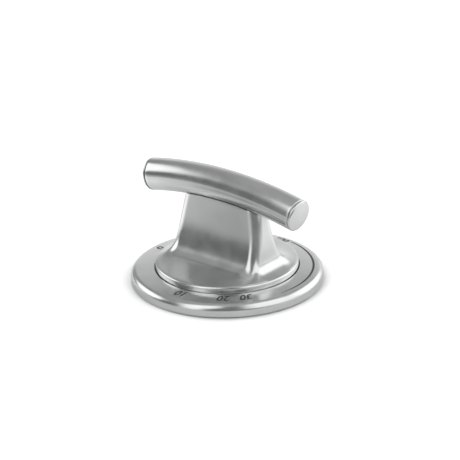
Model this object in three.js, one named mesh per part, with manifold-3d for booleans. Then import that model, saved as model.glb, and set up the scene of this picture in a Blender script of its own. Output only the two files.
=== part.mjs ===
// Cooktop control knob with an arched bar handle on a flared pedestal and a round dial skirt.
// Millimetres, +Z up. The origin is the centre of the base on the cooktop, Z is the turning axis and
// the handle bar lies along X. The handle and pedestal push down into the dial, and both turn on the base.

import * as THREE from 'three';
import { mergeVertices } from 'three/addons/utils/BufferGeometryUtils.js';
import Module from 'manifold-3d';

const wasm = await Module();
wasm.setup();

// ---- Driving dimensions -------------------------------------------------------------------------

const PUSH_TRAVEL = 1.8;                  // how far the handle goes down before it turns
const PLAY = 0.25;                        // clearance around pins and screws

// Dial skirt
const DIAL_R = 34;
const DIAL_BOTTOM_Z = 0.4;
const DIAL_SHOULDER_Z = 5.0;              // where the cone meets the rounded shoulder
const DIAL_SHOULDER_R = 2.6;
const DIAL_SEAM_Z = 5.75;                 // top of the cone, at the seam around the pedestal
const DIAL_BORE_R = 25.6;
const DIAL_FLOOR_Z = 1.9;                 // floor of the recess under the pedestal's wall
const DIAL_STEP_R = 20.4;                 // inside this radius the floor is raised over the base
const DIAL_WEB = 0.8;
const DIAL_HUB_TOP_Z = 3.0;
const DIAL_GROOVE_R = [27.6, 31.8];       // hollow ring in the underside, under the printed face
const DIAL_GROOVE_TOP_Z = 3.2;
const DIAL_CHAMFER = { edge: 0.5, bore: 0.25 };
const BOSS_CLEARANCE = 0.4;

// Pedestal
const FOOT_R = 25.3;
const FOOT_EDGE_Z = 7.9;                  // edge where the wall turns into the flare
const FOOT_EDGE_R = 25.1;
const FOOT_WALL = 1.6;
const FOOT_BOTTOM_Z = 3.9;
const NECK_TOP_Z = 31;
const NECK_HALF_LENGTH = 16.3;            // along the bar, at the top of the neck
const NECK_HALF_WIDTH = 4.2;
const NECK_SPREAD = { length: 2.5, width: 2.9 };    // gentle taper of the neck
const NECK_WIDENING = 4.6;                // more half width, with the fourth power of the way down
const FLARE_POWER = { length: 17, width: 23 };      // how sharply the neck turns out into the foot
const NECK_CORNER_R = 3.7;                // radius of the neck's four corners
const CORNER_POWER = 25;                  // how late the corners open out into the foot's circle
const SADDLE_TOP_Z = 34.4;                // the neck goes on up around the bar's underside
const CAVITY_ROOF_Z = 21;
const CAVITY_LIFT = 1.5;                  // the cavity follows the outside this far below it
const HUB_BOSS_R = 2.6;                   // posts in the cavity that the hub screws go up into

// Handle bar, on an arc in the XZ plane
const BAR_R = 5.8;
const BAR_Z = 36.15;                      // height of its axis over the origin
const BAR_ARC_R = 150;
const BAR_LENGTH = 67;                    // along the arc, with both end caps
const CAP_LENGTH = 1.5;
const CAP_EDGE_R = 0.7;
const CAP_GROOVE = 0.25;
const SPIGOT_R = 3.4;
const SPIGOT_LENGTH = 4.5;
const CAP_CROWN = 0.15;
const SADDLE_GAP = 0.2;

// Base: plate, boss, gasket, glide ring and snap ring
const BASE_R = 19.2;
const BASE_BORE_R = 9.4;
const BASE_PLATE_Z = 0.6;
const BASE_TOP_Z = 1.6;
const SEAT_R = 13.2;                      // the solid ring that stands on the cooktop
const BOSS_R = 12.4;
const BOSS_TOP_Z = 4.2;
const GROOVE_R = 11.6;
const GROOVE_Z = [3.15, 3.85];
const SNAP_RING_R = 15;
const BASE_SCREW_X = 16.6;
const BASE_SCREW_R = 1.7;

// Hub and the D-shaped stem socket
const STEM_R = 4.1;
const STEM_FLAT_Y = 2.7;
const STEM_SEAT_Z = 11.2;
const HUB_BOTTOM_Z = 2.5;
const HUB_LOWER_R = 8.6;
const HUB_UPPER_R = 5.3;
const HUB_TOP_Z = 12.8;
const FLANGE_Z = [6.2, 7.7];
const FLANGE_HALF_LENGTH = 15.6;
const FLANGE_HALF_WIDTH = 8.9;
const HUB_SCREW_X = 12.4;
const HUB_SCREW_R = 1.15;

// Handle fasteners
const HANDLE_SCREW_X = 6.5;
const HANDLE_SCREW_R = 1.9;
const HANDLE_SCREW_TOP_Z = 35;
const SCREW_HEAD_R = 2.8;
const DOWEL_X = 11.4;
const DOWEL_R = 1.0;
const DOWEL_Z = [27.6, 33.8];

// Return spring, its seat and the drive pins
const SEAT_WASHER_R = [17.2, 20.3];
const SEAT_WASHER_Z = [6.1, 6.4];
const SPRING_WIRE_R = 0.4;
const SPRING_R = [19.6, 17.9];            // bottom coil, top coil
const SPRING_TURNS = 2.25;
const PIN_Y = 22.7;
const PIN_R = 1.0;
const PIN_Z = [0.7, 5.3];
const LUG_R = 2.1;

// Facets
const ROUND = 48;                         // large turned pieces
const SMALL_ROUND = 16;                   // screws, pins and holes
const BAR_HALF_ROUND = 12;                // facets around half of the bar
const BAR_STEPS = 16;                     // facets along the bar
const FLARE_CROWDING = 2.2;               // over 1, the flare's facets crowd towards the foot

// ---- Materials ----------------------------------------------------------------------------------

const finish = (color, roughness, metalness) =>
  new THREE.MeshStandardMaterial({ color, roughness, metalness });
const SATIN = finish(0xb9bab9, 0.3, 1.0);
const STEEL = finish(0xa2a4a6, 0.4, 0.9);
const SPRING_STEEL = finish(0x8d9092, 0.35, 0.9);
const BRASS = finish(0xc9a55a, 0.35, 0.9);
const RUBBER = finish(0x1b1c1d, 0.85, 0.0);
const ACETAL = finish(0xe9e7e0, 0.5, 0.0);

// ---- Solids -------------------------------------------------------------------------------------

// A closed geometry as a manifold solid: shared vertices merged and collapsed triangles dropped.
function solid(geometry) {
  const bare = geometry.clone();
  bare.deleteAttribute('normal');
  bare.deleteAttribute('uv');
  const merged = mergeVertices(bare, 1e-4);
  const index = merged.index.array;
  const triangles = [];
  for (let i = 0; i < index.length; i += 3) {
    const [a, b, c] = [index[i], index[i + 1], index[i + 2]];
    if (a !== b && b !== c && a !== c) triangles.push(a, b, c);
  }
  return new wasm.Manifold(new wasm.Mesh({
    numProp: 3,
    vertProperties: merged.attributes.position.array,
    triVerts: Uint32Array.from(triangles),
  }));
}

// The other way round: a solid's triangles as a geometry that a mesh can hold.
function geometryOf(body) {
  const { vertProperties, triVerts, numProp } = body.getMesh();
  const positions = new Float32Array((vertProperties.length / numProp) * 3);
  for (let i = 0; i < positions.length / 3; i += 1) {
    positions.set(vertProperties.subarray(i * numProp, i * numProp + 3), i * 3);
  }
  const geometry = new THREE.BufferGeometry();
  geometry.setAttribute('position', new THREE.BufferAttribute(positions, 3));
  geometry.setIndex(new THREE.BufferAttribute(triVerts, 1));
  geometry.computeVertexNormals();
  return geometry;
}

// Turns a closed profile of [radius, height] points around Z. The points run anticlockwise when the
// radius is drawn to the right and the height upwards.
function turned(profile, segments = SMALL_ROUND) {
  const points = profile.map(([r, z]) => new THREE.Vector2(r, z));
  if (profile[0][0] > 0) points.push(points[0].clone());
  return solid(new THREE.LatheGeometry(points, segments).rotateX(Math.PI / 2));
}

function ring(innerR, outerR, lowZ, highZ, segments = ROUND) {
  return turned([[innerR, lowZ], [outerR, lowZ], [outerR, highZ], [innerR, highZ]], segments);
}

function rod(radius, lowZ, highZ, x = 0, y = 0, segments = SMALL_ROUND) {
  const profile = [[0, lowZ], [radius, lowZ], [radius, highZ], [0, highZ]];
  return turned(profile, segments).translate([x, y, 0]);
}

function block(lowX, highX, lowY, highY, lowZ, highZ) {
  const box = new THREE.BoxGeometry(highX - lowX, highY - lowY, highZ - lowZ);
  return solid(box.translate((lowX + highX) / 2, (lowY + highY) / 2, (lowZ + highZ) / 2));
}

// A quarter arc in a profile, from one angle to another, in degrees from the radius axis.
function arc(centreR, centreZ, radius, from, to, steps) {
  return Array.from({ length: steps + 1 }, (_, i) => {
    const angle = THREE.MathUtils.degToRad(THREE.MathUtils.lerp(from, to, i / steps));
    return [centreR + radius * Math.cos(angle), centreZ + radius * Math.sin(angle)];
  });
}

function named(name, body, material) {
  const mesh = new THREE.Mesh(geometryOf(body), material);
  mesh.name = name;
  return mesh;
}

const sides = [['left', -1], ['right', 1]];

// ---- The bar's arc ------------------------------------------------------------------------------

// The bar's axis from one distance along the arc to another, both counted from the middle.
class BarAxis extends THREE.Curve {
  constructor(from, to) {
    super();
    this.from = from;
    this.to = to;
  }

  getPoint(t, target = new THREE.Vector3()) {
    const angle = THREE.MathUtils.lerp(this.from, this.to, t) / BAR_ARC_R;
    const drop = BAR_ARC_R * (1 - Math.cos(angle));
    return target.set(BAR_ARC_R * Math.sin(angle), 0, BAR_Z - drop);
  }
}

function sweptBar(radius, halfLength) {
  const section = new THREE.Shape().absarc(0, 0, radius, 0, 2 * Math.PI);
  const extrudePath = new BarAxis(-halfLength, halfLength);
  const options = { steps: BAR_STEPS, curveSegments: BAR_HALF_ROUND, extrudePath };
  return solid(new THREE.ExtrudeGeometry(section, options));
}

// Puts a piece made around +Z at the bar's end, pointing out along the arc.
function atBarEnd(body, side) {
  const distance = BAR_LENGTH / 2 - CAP_LENGTH;
  const end = new BarAxis(0, distance).getPoint(1);
  const slope = THREE.MathUtils.radToDeg(distance / BAR_ARC_R);
  return body.rotate([0, side * (90 + slope), 0]).translate([side * end.x, 0, end.z]);
}

// ---- The pedestal's flare -----------------------------------------------------------------------

// Half length, half width and corner radius of the neck's section at a share s of the way down, from
// 0 at the top to 1 at the foot's edge, where the section has become a circle.
function flareSection(s) {
  const { length, width } = NECK_SPREAD;
  const flareLength = FOOT_EDGE_R - NECK_HALF_LENGTH - length;
  const flareWidth = FOOT_EDGE_R - NECK_HALF_WIDTH - width - NECK_WIDENING;
  return {
    halfLength: NECK_HALF_LENGTH + length * (1 - (1 - s) ** 2) + flareLength * s ** FLARE_POWER.length,
    halfWidth: NECK_HALF_WIDTH + width * s + NECK_WIDENING * s ** 4 + flareWidth * s ** FLARE_POWER.width,
    cornerR: NECK_CORNER_R + (FOOT_EDGE_R - NECK_CORNER_R) * s ** CORNER_POWER,
  };
}

function sectionAt(z) {
  return flareSection(THREE.MathUtils.clamp((NECK_TOP_Z - z) / (NECK_TOP_Z - FOOT_EDGE_Z), 0, 1));
}

function circle(z, radius) {
  return { z, halfLength: radius, halfWidth: radius, cornerR: radius };
}

// A solid through sections that are stacked from the top down. It is a cylinder whose rings are
// pulled out into rounded rectangles, so it is capped flat at both ends.
function lofted(sections, around) {
  const rings = sections.length - 1;
  const geometry = new THREE.CylinderGeometry(1, 1, rings, around, rings).rotateX(Math.PI / 2);
  const position = geometry.attributes.position;
  const spread = (v, half, cornerR) => (
    Math.abs(v) < 1e-6 ? 0 : Math.sign(v) * (half - cornerR) + v * cornerR);
  for (let i = 0; i < position.count; i += 1) {
    const { z, halfLength, halfWidth, cornerR } = sections[Math.round(rings / 2 - position.getZ(i))];
    const x = spread(position.getX(i), halfLength, cornerR);
    const y = spread(position.getY(i), halfWidth, cornerR);
    position.setXYZ(i, x, y, z);
  }
  return solid(geometry);
}

// Heights that crowd together towards the foot, where the flare turns quickly.
function flareHeights(topZ, count) {
  return Array.from({ length: count + 1 }, (_, i) => {
    const left = (1 - i / count) ** FLARE_CROWDING;
    return FOOT_EDGE_Z + (topZ - FOOT_EDGE_Z) * left;
  });
}

function pedestalOutside() {
  const flare = flareHeights(SADDLE_TOP_Z, 14).map((z) => ({ z, ...sectionAt(z) }));
  const wall = [FOOT_EDGE_Z - 0.3, FOOT_BOTTOM_Z].map((z) => circle(z, FOOT_R));
  return lofted([...flare, ...wall], ROUND);
}

function pedestalCavity() {
  const flare = flareHeights(CAVITY_ROOF_Z + CAVITY_LIFT, 8).map((z) => {
    const { halfLength, halfWidth, cornerR } = sectionAt(z);
    return {
      z: z - CAVITY_LIFT,
      halfLength: halfLength - FOOT_WALL,
      halfWidth: halfWidth - FOOT_WALL,
      cornerR: cornerR - FOOT_WALL,
    };
  });
  return lofted([...flare, circle(FOOT_BOTTOM_Z - 1, FOOT_R - FOOT_WALL)], ROUND);
}

// ---- Pieces of the knob -------------------------------------------------------------------------

function pedestal() {
  const padZ = SEAT_WASHER_Z[1] + 0.2;
  let body = pedestalOutside().subtract(pedestalCavity());
  body = body.add(ring(SEAT_WASHER_R[0] - 0.3, SEAT_WASHER_R[1] + 0.2, padZ, padZ + 1.7));
  for (const [, side] of sides) {
    body = body.add(rod(LUG_R, FOOT_BOTTOM_Z + 0.3, 7.3, 0, side * PIN_Y));
    body = body.add(rod(HUB_BOSS_R, FLANGE_Z[1] + 0.3, CAVITY_ROOF_Z + 1, side * HUB_SCREW_X));
  }
  for (const [, side] of sides) {
    body = body.subtract(rod(PIN_R + PLAY, 0, PIN_Z[1] + PUSH_TRAVEL + 0.1, 0, side * PIN_Y));
    body = body.subtract(rod(HUB_SCREW_R + PLAY, 6, 15, side * HUB_SCREW_X));
    body = body.subtract(rod(HANDLE_SCREW_R + PLAY, 18, 40, side * HANDLE_SCREW_X));
    body = body.subtract(rod(DOWEL_R + PLAY, DOWEL_Z[0] - 0.3, 40, side * DOWEL_X));
  }
  return body.subtract(sweptBar(BAR_R + SADDLE_GAP, BAR_LENGTH / 2 + 2));
}

function handleBar() {
  const halfLength = BAR_LENGTH / 2 - CAP_LENGTH;
  let body = sweptBar(BAR_R, halfLength);
  for (const [, side] of sides) {
    const socket = rod(SPIGOT_R + PLAY, -SPIGOT_LENGTH - 0.4, 1);
    body = body.subtract(atBarEnd(socket, side));
    body = body.subtract(rod(HANDLE_SCREW_R + PLAY, 28, HANDLE_SCREW_TOP_Z + 0.5, side * HANDLE_SCREW_X));
    body = body.subtract(rod(DOWEL_R + PLAY, 28, DOWEL_Z[1] + 0.3, side * DOWEL_X));
  }
  return body;
}

// A disc with a rounded edge and a slightly crowned face, on a spigot that plugs into the bar.
function endCap(side) {
  const profile = [
    [0, -SPIGOT_LENGTH], [SPIGOT_R, -SPIGOT_LENGTH], [SPIGOT_R, CAP_GROOVE],
    [BAR_R - 0.3, CAP_GROOVE], [BAR_R, CAP_GROOVE + 0.3],
    ...arc(BAR_R - CAP_EDGE_R, CAP_LENGTH - CAP_CROWN - CAP_EDGE_R, CAP_EDGE_R, 0, 90, 3),
    [BAR_R / 2, CAP_LENGTH - CAP_CROWN / 3], [0, CAP_LENGTH],
  ];
  return atBarEnd(turned(profile, 2 * BAR_HALF_ROUND), side);
}

// A pan head with a hexagon socket, and a plain shank up into the bar.
function handleScrew(side) {
  const headZ = [CAVITY_ROOF_Z - 3.7, CAVITY_ROOF_Z - 1.3];
  const body = turned([
    [0, headZ[0]], [SCREW_HEAD_R - 0.5, headZ[0]], [SCREW_HEAD_R, headZ[0] + 0.6],
    [SCREW_HEAD_R, headZ[1]], [HANDLE_SCREW_R, headZ[1]],
    [HANDLE_SCREW_R, HANDLE_SCREW_TOP_Z - 0.6], [HANDLE_SCREW_R - 0.5, HANDLE_SCREW_TOP_Z],
    [0, HANDLE_SCREW_TOP_Z],
  ]);
  const socket = rod(1.45, headZ[0] - 1, headZ[0] + 1.5, 0, 0, 6);
  return body.subtract(socket).translate([side * HANDLE_SCREW_X, 0, 0]);
}

// A split spring washer between the screw's head and the roof of the cavity.
function lockWasher(side) {
  const z = [CAVITY_ROOF_Z - 1.1, CAVITY_ROOF_Z - 0.2];
  const washer = ring(HANDLE_SCREW_R + 0.2, SCREW_HEAD_R, z[0], z[1], SMALL_ROUND);
  const split = block(1, 4, -0.3, 0.3, z[0] - 1, z[1] + 1);
  return washer.subtract(split).translate([side * HANDLE_SCREW_X, 0, 0]);
}

// ---- Pieces of the stem drive -------------------------------------------------------------------

function stadium(halfLength, halfWidth) {
  const centre = halfLength - halfWidth;
  return new THREE.Shape()
    .absarc(centre, 0, halfWidth, -Math.PI / 2, Math.PI / 2)
    .absarc(-centre, 0, halfWidth, Math.PI / 2, 1.5 * Math.PI);
}

function hub() {
  const depth = FLANGE_Z[1] - FLANGE_Z[0];
  const outline = stadium(FLANGE_HALF_LENGTH, FLANGE_HALF_WIDTH);
  const flange = new THREE.ExtrudeGeometry(outline, { depth, bevelEnabled: false, curveSegments: 12 });
  let body = solid(flange.translate(0, 0, FLANGE_Z[0]));
  body = body.add(rod(HUB_LOWER_R, HUB_BOTTOM_Z, FLANGE_Z[0] + 0.5, 0, 0, 32));
  body = body.add(rod(HUB_UPPER_R, FLANGE_Z[0] + 0.5, HUB_TOP_Z, 0, 0, 32));
  const bore = rod(STEM_R, 0, STEM_SEAT_Z, 0, 0, 32);
  body = body.subtract(bore.subtract(block(-6, 6, STEM_FLAT_Y, 6, -1, STEM_SEAT_Z + 1)));
  body = body.subtract(block(-2.3, 2.3, -4.9, -3.6, 3.1, STEM_SEAT_Z - 0.4));
  for (const [, side] of sides) {
    const countersink = turned([
      [0, FLANGE_Z[0] - 1], [3.3, FLANGE_Z[0] - 1], [HUB_SCREW_R + PLAY, FLANGE_Z[0] + 1.1],
      [HUB_SCREW_R + PLAY, 9], [0, 9],
    ]);
    body = body.subtract(countersink.translate([side * HUB_SCREW_X, 0, 0]));
  }
  return body;
}

// A bowed leaf in a pocket beside the bore, bowed towards the stem.
function stemClip() {
  const thickness = 0.3;
  const low = 3.5;
  const high = STEM_SEAT_Z - 0.8;
  const middle = (low + high) / 2;
  const outer = -4.72;
  const bow = 0.2;
  const outline = new THREE.Shape()
    .moveTo(outer, low)
    .lineTo(outer + thickness, low)
    .quadraticCurveTo(outer + thickness + 2 * bow, middle, outer + thickness, high)
    .lineTo(outer, high)
    .quadraticCurveTo(outer + 2 * bow, middle, outer, low);
  const leaf = new THREE.ExtrudeGeometry(outline, { depth: 4, bevelEnabled: false, curveSegments: 10 });
  return solid(leaf.translate(0, 0, -2).rotateX(Math.PI / 2).rotateZ(Math.PI / 2));
}

function hubScrew(side) {
  const z = FLANGE_Z[0] + 0.1;
  const body = turned([
    [0, z], [2.1, z], [2.1, z + 0.15], [HUB_SCREW_R, z + 1.2],
    [HUB_SCREW_R, 13.6], [HUB_SCREW_R - 0.4, 14], [0, 14],
  ]);
  const slot = block(-3, 3, -0.3, 0.3, z - 1, z + 0.6);
  const cross = block(-0.3, 0.3, -1.3, 1.3, z - 1, z + 0.6);
  const drive = slot.intersect(block(-1.3, 1.3, -1, 1, z - 1, z + 1)).add(cross);
  return body.subtract(drive).translate([side * HUB_SCREW_X, 0, 0]);
}

// ---- Pieces of the dial -------------------------------------------------------------------------

function dialSkirt() {
  const shoulderZ = DIAL_SHOULDER_Z - DIAL_SHOULDER_R;
  const shoulder = arc(DIAL_R - DIAL_SHOULDER_R, shoulderZ, DIAL_SHOULDER_R, 0, 90, 5);
  const stepR = DIAL_STEP_R - DIAL_WEB;
  const innerR = BOSS_R + BOSS_CLEARANCE;
  const [grooveInnerR, grooveOuterR] = DIAL_GROOVE_R;
  const { edge, bore } = DIAL_CHAMFER;
  const body = turned([
    [innerR, DIAL_HUB_TOP_Z - DIAL_WEB], [stepR, DIAL_HUB_TOP_Z - DIAL_WEB],
    [stepR, DIAL_BOTTOM_Z], [grooveInnerR, DIAL_BOTTOM_Z], [grooveInnerR, DIAL_GROOVE_TOP_Z],
    [grooveOuterR, DIAL_GROOVE_TOP_Z], [grooveOuterR, DIAL_BOTTOM_Z],
    [DIAL_R - edge, DIAL_BOTTOM_Z], [DIAL_R, DIAL_BOTTOM_Z + edge],
    ...shoulder,
    [DIAL_BORE_R + bore, DIAL_SEAM_Z], [DIAL_BORE_R, DIAL_SEAM_Z - bore],
    [DIAL_BORE_R, DIAL_FLOOR_Z], [DIAL_STEP_R, DIAL_FLOOR_Z],
    [DIAL_STEP_R, DIAL_HUB_TOP_Z], [innerR, DIAL_HUB_TOP_Z],
  ], ROUND);
  return sides.reduce(
    (dial, [, side]) => dial.subtract(rod(PIN_R + PLAY, 0, 4, 0, side * PIN_Y)), body);
}

function drivePin(side) {
  const [low, high] = PIN_Z;
  const profile = [[0, low], [PIN_R, low], [PIN_R, high - 0.3], [PIN_R - 0.3, high], [0, high]];
  return turned(profile).translate([0, side * PIN_Y, 0]);
}

// The conical coil's centre line, from the dial's floor up to the seat.
class SpringAxis extends THREE.Curve {
  getPoint(t, target = new THREE.Vector3()) {
    const angle = t * SPRING_TURNS * 2 * Math.PI;
    const radius = THREE.MathUtils.lerp(SPRING_R[0], SPRING_R[1], t);
    const low = DIAL_HUB_TOP_Z + 0.1 + SPRING_WIRE_R;
    const high = SEAT_WASHER_Z[0] - 0.1 - SPRING_WIRE_R;
    const z = THREE.MathUtils.lerp(low, high, t);
    return target.set(radius * Math.cos(angle), radius * Math.sin(angle), z);
  }
}

function returnSpring() {
  const wire = new THREE.Shape().absarc(0, 0, SPRING_WIRE_R, 0, 2 * Math.PI);
  const extrudePath = new SpringAxis();
  return solid(new THREE.ExtrudeGeometry(wire, { steps: 54, curveSegments: 3, extrudePath }));
}

// ---- Pieces of the base -------------------------------------------------------------------------

// A plate with a solid ring that stands on the cooktop, and a grooved boss that the dial turns on.
function basePlate() {
  const body = turned([
    [BASE_BORE_R, 0], [SEAT_R, 0], [SEAT_R, BASE_PLATE_Z], [BASE_R, BASE_PLATE_Z],
    [BASE_R, BASE_TOP_Z], [BOSS_R, BASE_TOP_Z], [BOSS_R, GROOVE_Z[0]], [GROOVE_R, GROOVE_Z[0]],
    [GROOVE_R, GROOVE_Z[1]], [BOSS_R, GROOVE_Z[1]], [BOSS_R - 0.3, BOSS_TOP_Z],
    [BASE_BORE_R, BOSS_TOP_Z],
  ], ROUND);
  return sides.reduce(
    (plate, [, side]) => plate.subtract(rod(BASE_SCREW_R, -1, 3, side * BASE_SCREW_X)), body);
}

function gasket() {
  const body = ring(SEAT_R + 0.3, BASE_R - 0.2, 0, BASE_PLATE_Z - 0.1);
  return sides.reduce(
    (seal, [, side]) => seal.subtract(rod(BASE_SCREW_R + 0.2, -1, 3, side * BASE_SCREW_X)), body);
}

function glideRing() {
  return ring(BOSS_R + 0.6, BASE_R - 0.4, BASE_TOP_Z + 0.1, DIAL_HUB_TOP_Z - DIAL_WEB - 0.1);
}

// A flat ring in the boss's groove, open at one side so that it can be spread.
function snapRing() {
  const z = [GROOVE_Z[0] + 0.1, GROOVE_Z[1] - 0.1];
  const opening = block(8, 16, -2, 2, z[0] - 1, z[1] + 1);
  const body = ring(GROOVE_R + 0.3, SNAP_RING_R, z[0], z[1]).subtract(opening);
  return body.subtract(rod(0.5, z[0] - 1, z[1] + 1, 12.9, 3.4, 12))
    .subtract(rod(0.5, z[0] - 1, z[1] + 1, 12.9, -3.4, 12));
}

// ---- Assembly -----------------------------------------------------------------------------------

const knob = new THREE.Group();

const base = new THREE.Group();
base.add(
  named('base_plate', basePlate(), STEEL),
  named('base_gasket', gasket(), RUBBER),
  named('glide_ring', glideRing(), ACETAL),
  named('snap_ring', snapRing(), SPRING_STEEL),
);

const dial = new THREE.Group();
dial.add(
  named('dial_skirt', dialSkirt(), SATIN),
  named('return_spring', returnSpring(), SPRING_STEEL),
  named('drive_pin_front', drivePin(-1), STEEL),
  named('drive_pin_back', drivePin(1), STEEL),
);

const handle = new THREE.Group();
handle.add(
  named('pedestal', pedestal(), SATIN),
  named('handle_bar', handleBar(), SATIN),
  named('spring_seat', ring(SEAT_WASHER_R[0], SEAT_WASHER_R[1], SEAT_WASHER_Z[0], SEAT_WASHER_Z[1]), STEEL),
  named('hub', hub(), BRASS),
  named('stem_clip', stemClip(), SPRING_STEEL),
);
for (const [word, side] of sides) {
  handle.add(
    named(`end_cap_${word}`, endCap(side), SATIN),
    named(`handle_screw_${word}`, handleScrew(side), STEEL),
    named(`lock_washer_${word}`, lockWasher(side), SPRING_STEEL),
    named(`dowel_${word}`, rod(DOWEL_R, DOWEL_Z[0], DOWEL_Z[1], side * DOWEL_X, 0, 16), STEEL),
    named(`hub_screw_${word}`, hubScrew(side), STEEL),
  );
}

knob.add(base, dial, handle);

export default knob;
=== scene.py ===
"""Looks of a cooktop control knob: an arched bar handle on a flared pedestal, in a round dial skirt.

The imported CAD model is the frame. Smooth pieces of the same dimensions stand for its faceted solids,
and every piece gets a procedural material. Lengths here are in millimetres until a mesh is made.
"""

import math

import bmesh
import bpy
from mathutils import Matrix, Vector

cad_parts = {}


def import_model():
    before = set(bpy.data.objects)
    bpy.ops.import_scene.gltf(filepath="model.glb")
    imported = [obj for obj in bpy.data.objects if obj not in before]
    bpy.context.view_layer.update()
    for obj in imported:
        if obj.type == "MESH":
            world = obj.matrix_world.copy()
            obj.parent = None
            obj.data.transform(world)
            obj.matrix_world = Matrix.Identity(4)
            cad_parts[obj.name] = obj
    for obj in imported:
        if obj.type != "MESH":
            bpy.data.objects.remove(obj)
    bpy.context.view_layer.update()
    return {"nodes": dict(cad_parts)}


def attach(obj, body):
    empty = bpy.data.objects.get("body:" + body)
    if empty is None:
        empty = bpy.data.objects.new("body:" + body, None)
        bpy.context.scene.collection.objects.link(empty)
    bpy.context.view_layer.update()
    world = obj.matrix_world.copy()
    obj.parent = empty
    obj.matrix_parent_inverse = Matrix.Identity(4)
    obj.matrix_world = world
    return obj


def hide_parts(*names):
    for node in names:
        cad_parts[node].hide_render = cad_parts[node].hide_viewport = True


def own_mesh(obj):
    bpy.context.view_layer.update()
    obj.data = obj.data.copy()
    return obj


MM = 0.001

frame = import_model()

# ---- Dimensions, the same as the CAD model's ------------------------------------------------------

PUSH_TRAVEL = 1.8
PLAY = 0.25                          # around a screw, dowel, pin or spigot
END_PLAY = 0.3                       # beyond the end of a dowel, and over the hub's flange
FINE_FILLET = 0.2

DIAL_R = 34.0
DIAL_BOTTOM_Z = 0.4
DIAL_SHOULDER_R = 2.6
DIAL_TOP_EDGE = (31.4, 5.0)          # where the printed cone meets the shoulder
DIAL_SEAM_Z = 5.75
DIAL_BORE_R = 25.6
DIAL_FLOOR_Z = 1.9
DIAL_STEP_R = 20.4
DIAL_WEB = 0.8
DIAL_HUB_TOP_Z = 3.0
DIAL_GROOVE_R = (27.6, 31.8)
DIAL_GROOVE_TOP_Z = 3.2
DIAL_GROOVE_FILLET = 0.4
DIAL_RIM_FILLET = 0.45
DIAL_EYE_FILLET = 0.15
DIAL_EYE_PLAY = 0.4                  # around the base plate's boss

FOOT_R = 25.3
FOOT_EDGE_Z = 7.9
FOOT_EDGE_R = 25.1
FOOT_WALL = 1.6
FOOT_BOTTOM_Z = 3.9
FOOT_BOTTOM_FILLET = 0.15
FOOT_EDGE_FILLET = 0.8
FOOT_EDGE_REACH = 0.2                # height over which the flare runs into its rounded edge
FOOT_EDGE_DROP = 0.05                # from the flare's end to the corner that the fillet replaces
FOOT_EDGE_SLOPE = (2.0, 0.36)        # how the flare comes in to that corner: run and rise
NECK_TOP_Z = 31.0
NECK_HALF_LENGTH = 16.3
NECK_HALF_WIDTH = 4.2
NECK_SPREAD_LENGTH = 2.5
NECK_SPREAD_WIDTH = 2.9
NECK_WIDENING = 4.6
FLARE_POWER_LENGTH = 17
FLARE_POWER_WIDTH = 23
NECK_CORNER_R = 3.7
CORNER_POWER = 25
LEAST_FLAT = 0.05                    # keeps the section's flats from vanishing at the foot
CAVITY_ROOF_Z = 21.0
CAVITY_LIFT = 1.5
SADDLE_FILLET = 0.12
HUB_BOSS_R = 2.6

BAR_R = 5.8
BAR_Z = 36.15
BAR_ARC_R = 150.0
BAR_LENGTH = 67.0
CAP_LENGTH = 1.5
CAP_EDGE_R = 0.7
CAP_GROOVE = 0.25
CAP_CROWN = 0.15
CAP_BACK_FILLET = 0.12
BAR_END_FILLET = 0.4
CAP_TRIM = 0.06                      # keeps the smooth cap inside its faceted one
SPIGOT_R = 3.4
SPIGOT_LENGTH = 4.5
SPIGOT_FILLET = 0.3
SOCKET_END_PLAY = 0.4
SADDLE_GAP = 0.2

BOSS_R = 12.4
HANDLE_SCREW_X = 6.5
HANDLE_SCREW_R = 1.9
HANDLE_SCREW_TOP_Z = 35.0
HANDLE_SCREW_END_PLAY = 0.5
HANDLE_SCREW_BORE_LOW_Z = 18.0
BELOW_BAR_Z = 28.0                   # bores through the saddle start here or end above it
ABOVE_SADDLE_Z = 40.0
DOWEL_X = 11.4
DOWEL_R = 1.0
DOWEL_Z = (27.6, 33.8)
HUB_SCREW_X = 12.4
HUB_SCREW_R = 1.15
HUB_SCREW_BORE_Z = (6.0, 15.0)
FLANGE_TOP_Z = 7.7
PIN_Y = 22.7
PIN_R = 1.0
PIN_TOP_Z = 5.3
PIN_END_PLAY = 0.1
PIN_HOLE_Z = (-1.0, 4.0)
LUG_R = 2.1
LUG_TOP_Z = 7.3
SPRING_SEAT_Z = (6.1, 6.4)
PAD_R = (16.9, 20.5)                 # the land that the spring's seat washer bears on
PAD_GAP = 0.2
PAD_HEIGHT = 1.7
SPRING_WIRE_R = 0.4
SPRING_R = (19.6, 17.9)
SPRING_TURNS = 2.25
SPRING_GAP = 0.1

SIDES = {"left": -1, "right": 1}
SLIVER = 0.002                       # cuts leave no edge shorter than this


# ---- Mesh helpers ---------------------------------------------------------------------------------

def skin(rings, closed=False):
    """Points and faces of a surface through rings, each a loop of points or one single point."""
    points, starts = [], []
    for ring in rings:
        starts.append(len(points))
        points.extend(ring)
    pairs = [(k, k + 1) for k in range(len(rings) - 1)]
    if closed:
        pairs.append((len(rings) - 1, 0))
    faces = []
    for a, b in pairs:
        count_a, count_b = len(rings[a]), len(rings[b])
        around = max(count_a, count_b)
        for i in range(around):
            j = (i + 1) % around
            corners = (
                starts[a] + i % count_a, starts[a] + j % count_a,
                starts[b] + j % count_b, starts[b] + i % count_b,
            )
            faces.append(list(dict.fromkeys(corners)))
    return points, faces


def piece(name, points, faces):
    """A new object from points in millimetres, with its faces turned outwards."""
    mesh = bpy.data.meshes.new(name)
    mesh.from_pydata([Vector(p) * MM for p in points], [], faces)
    bm = bmesh.new()
    bm.from_mesh(mesh)
    bmesh.ops.recalc_face_normals(bm, faces=bm.faces)
    bm.to_mesh(mesh)
    bm.free()
    obj = bpy.data.objects.new(name, mesh)
    bpy.context.scene.collection.objects.link(obj)
    return obj


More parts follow.
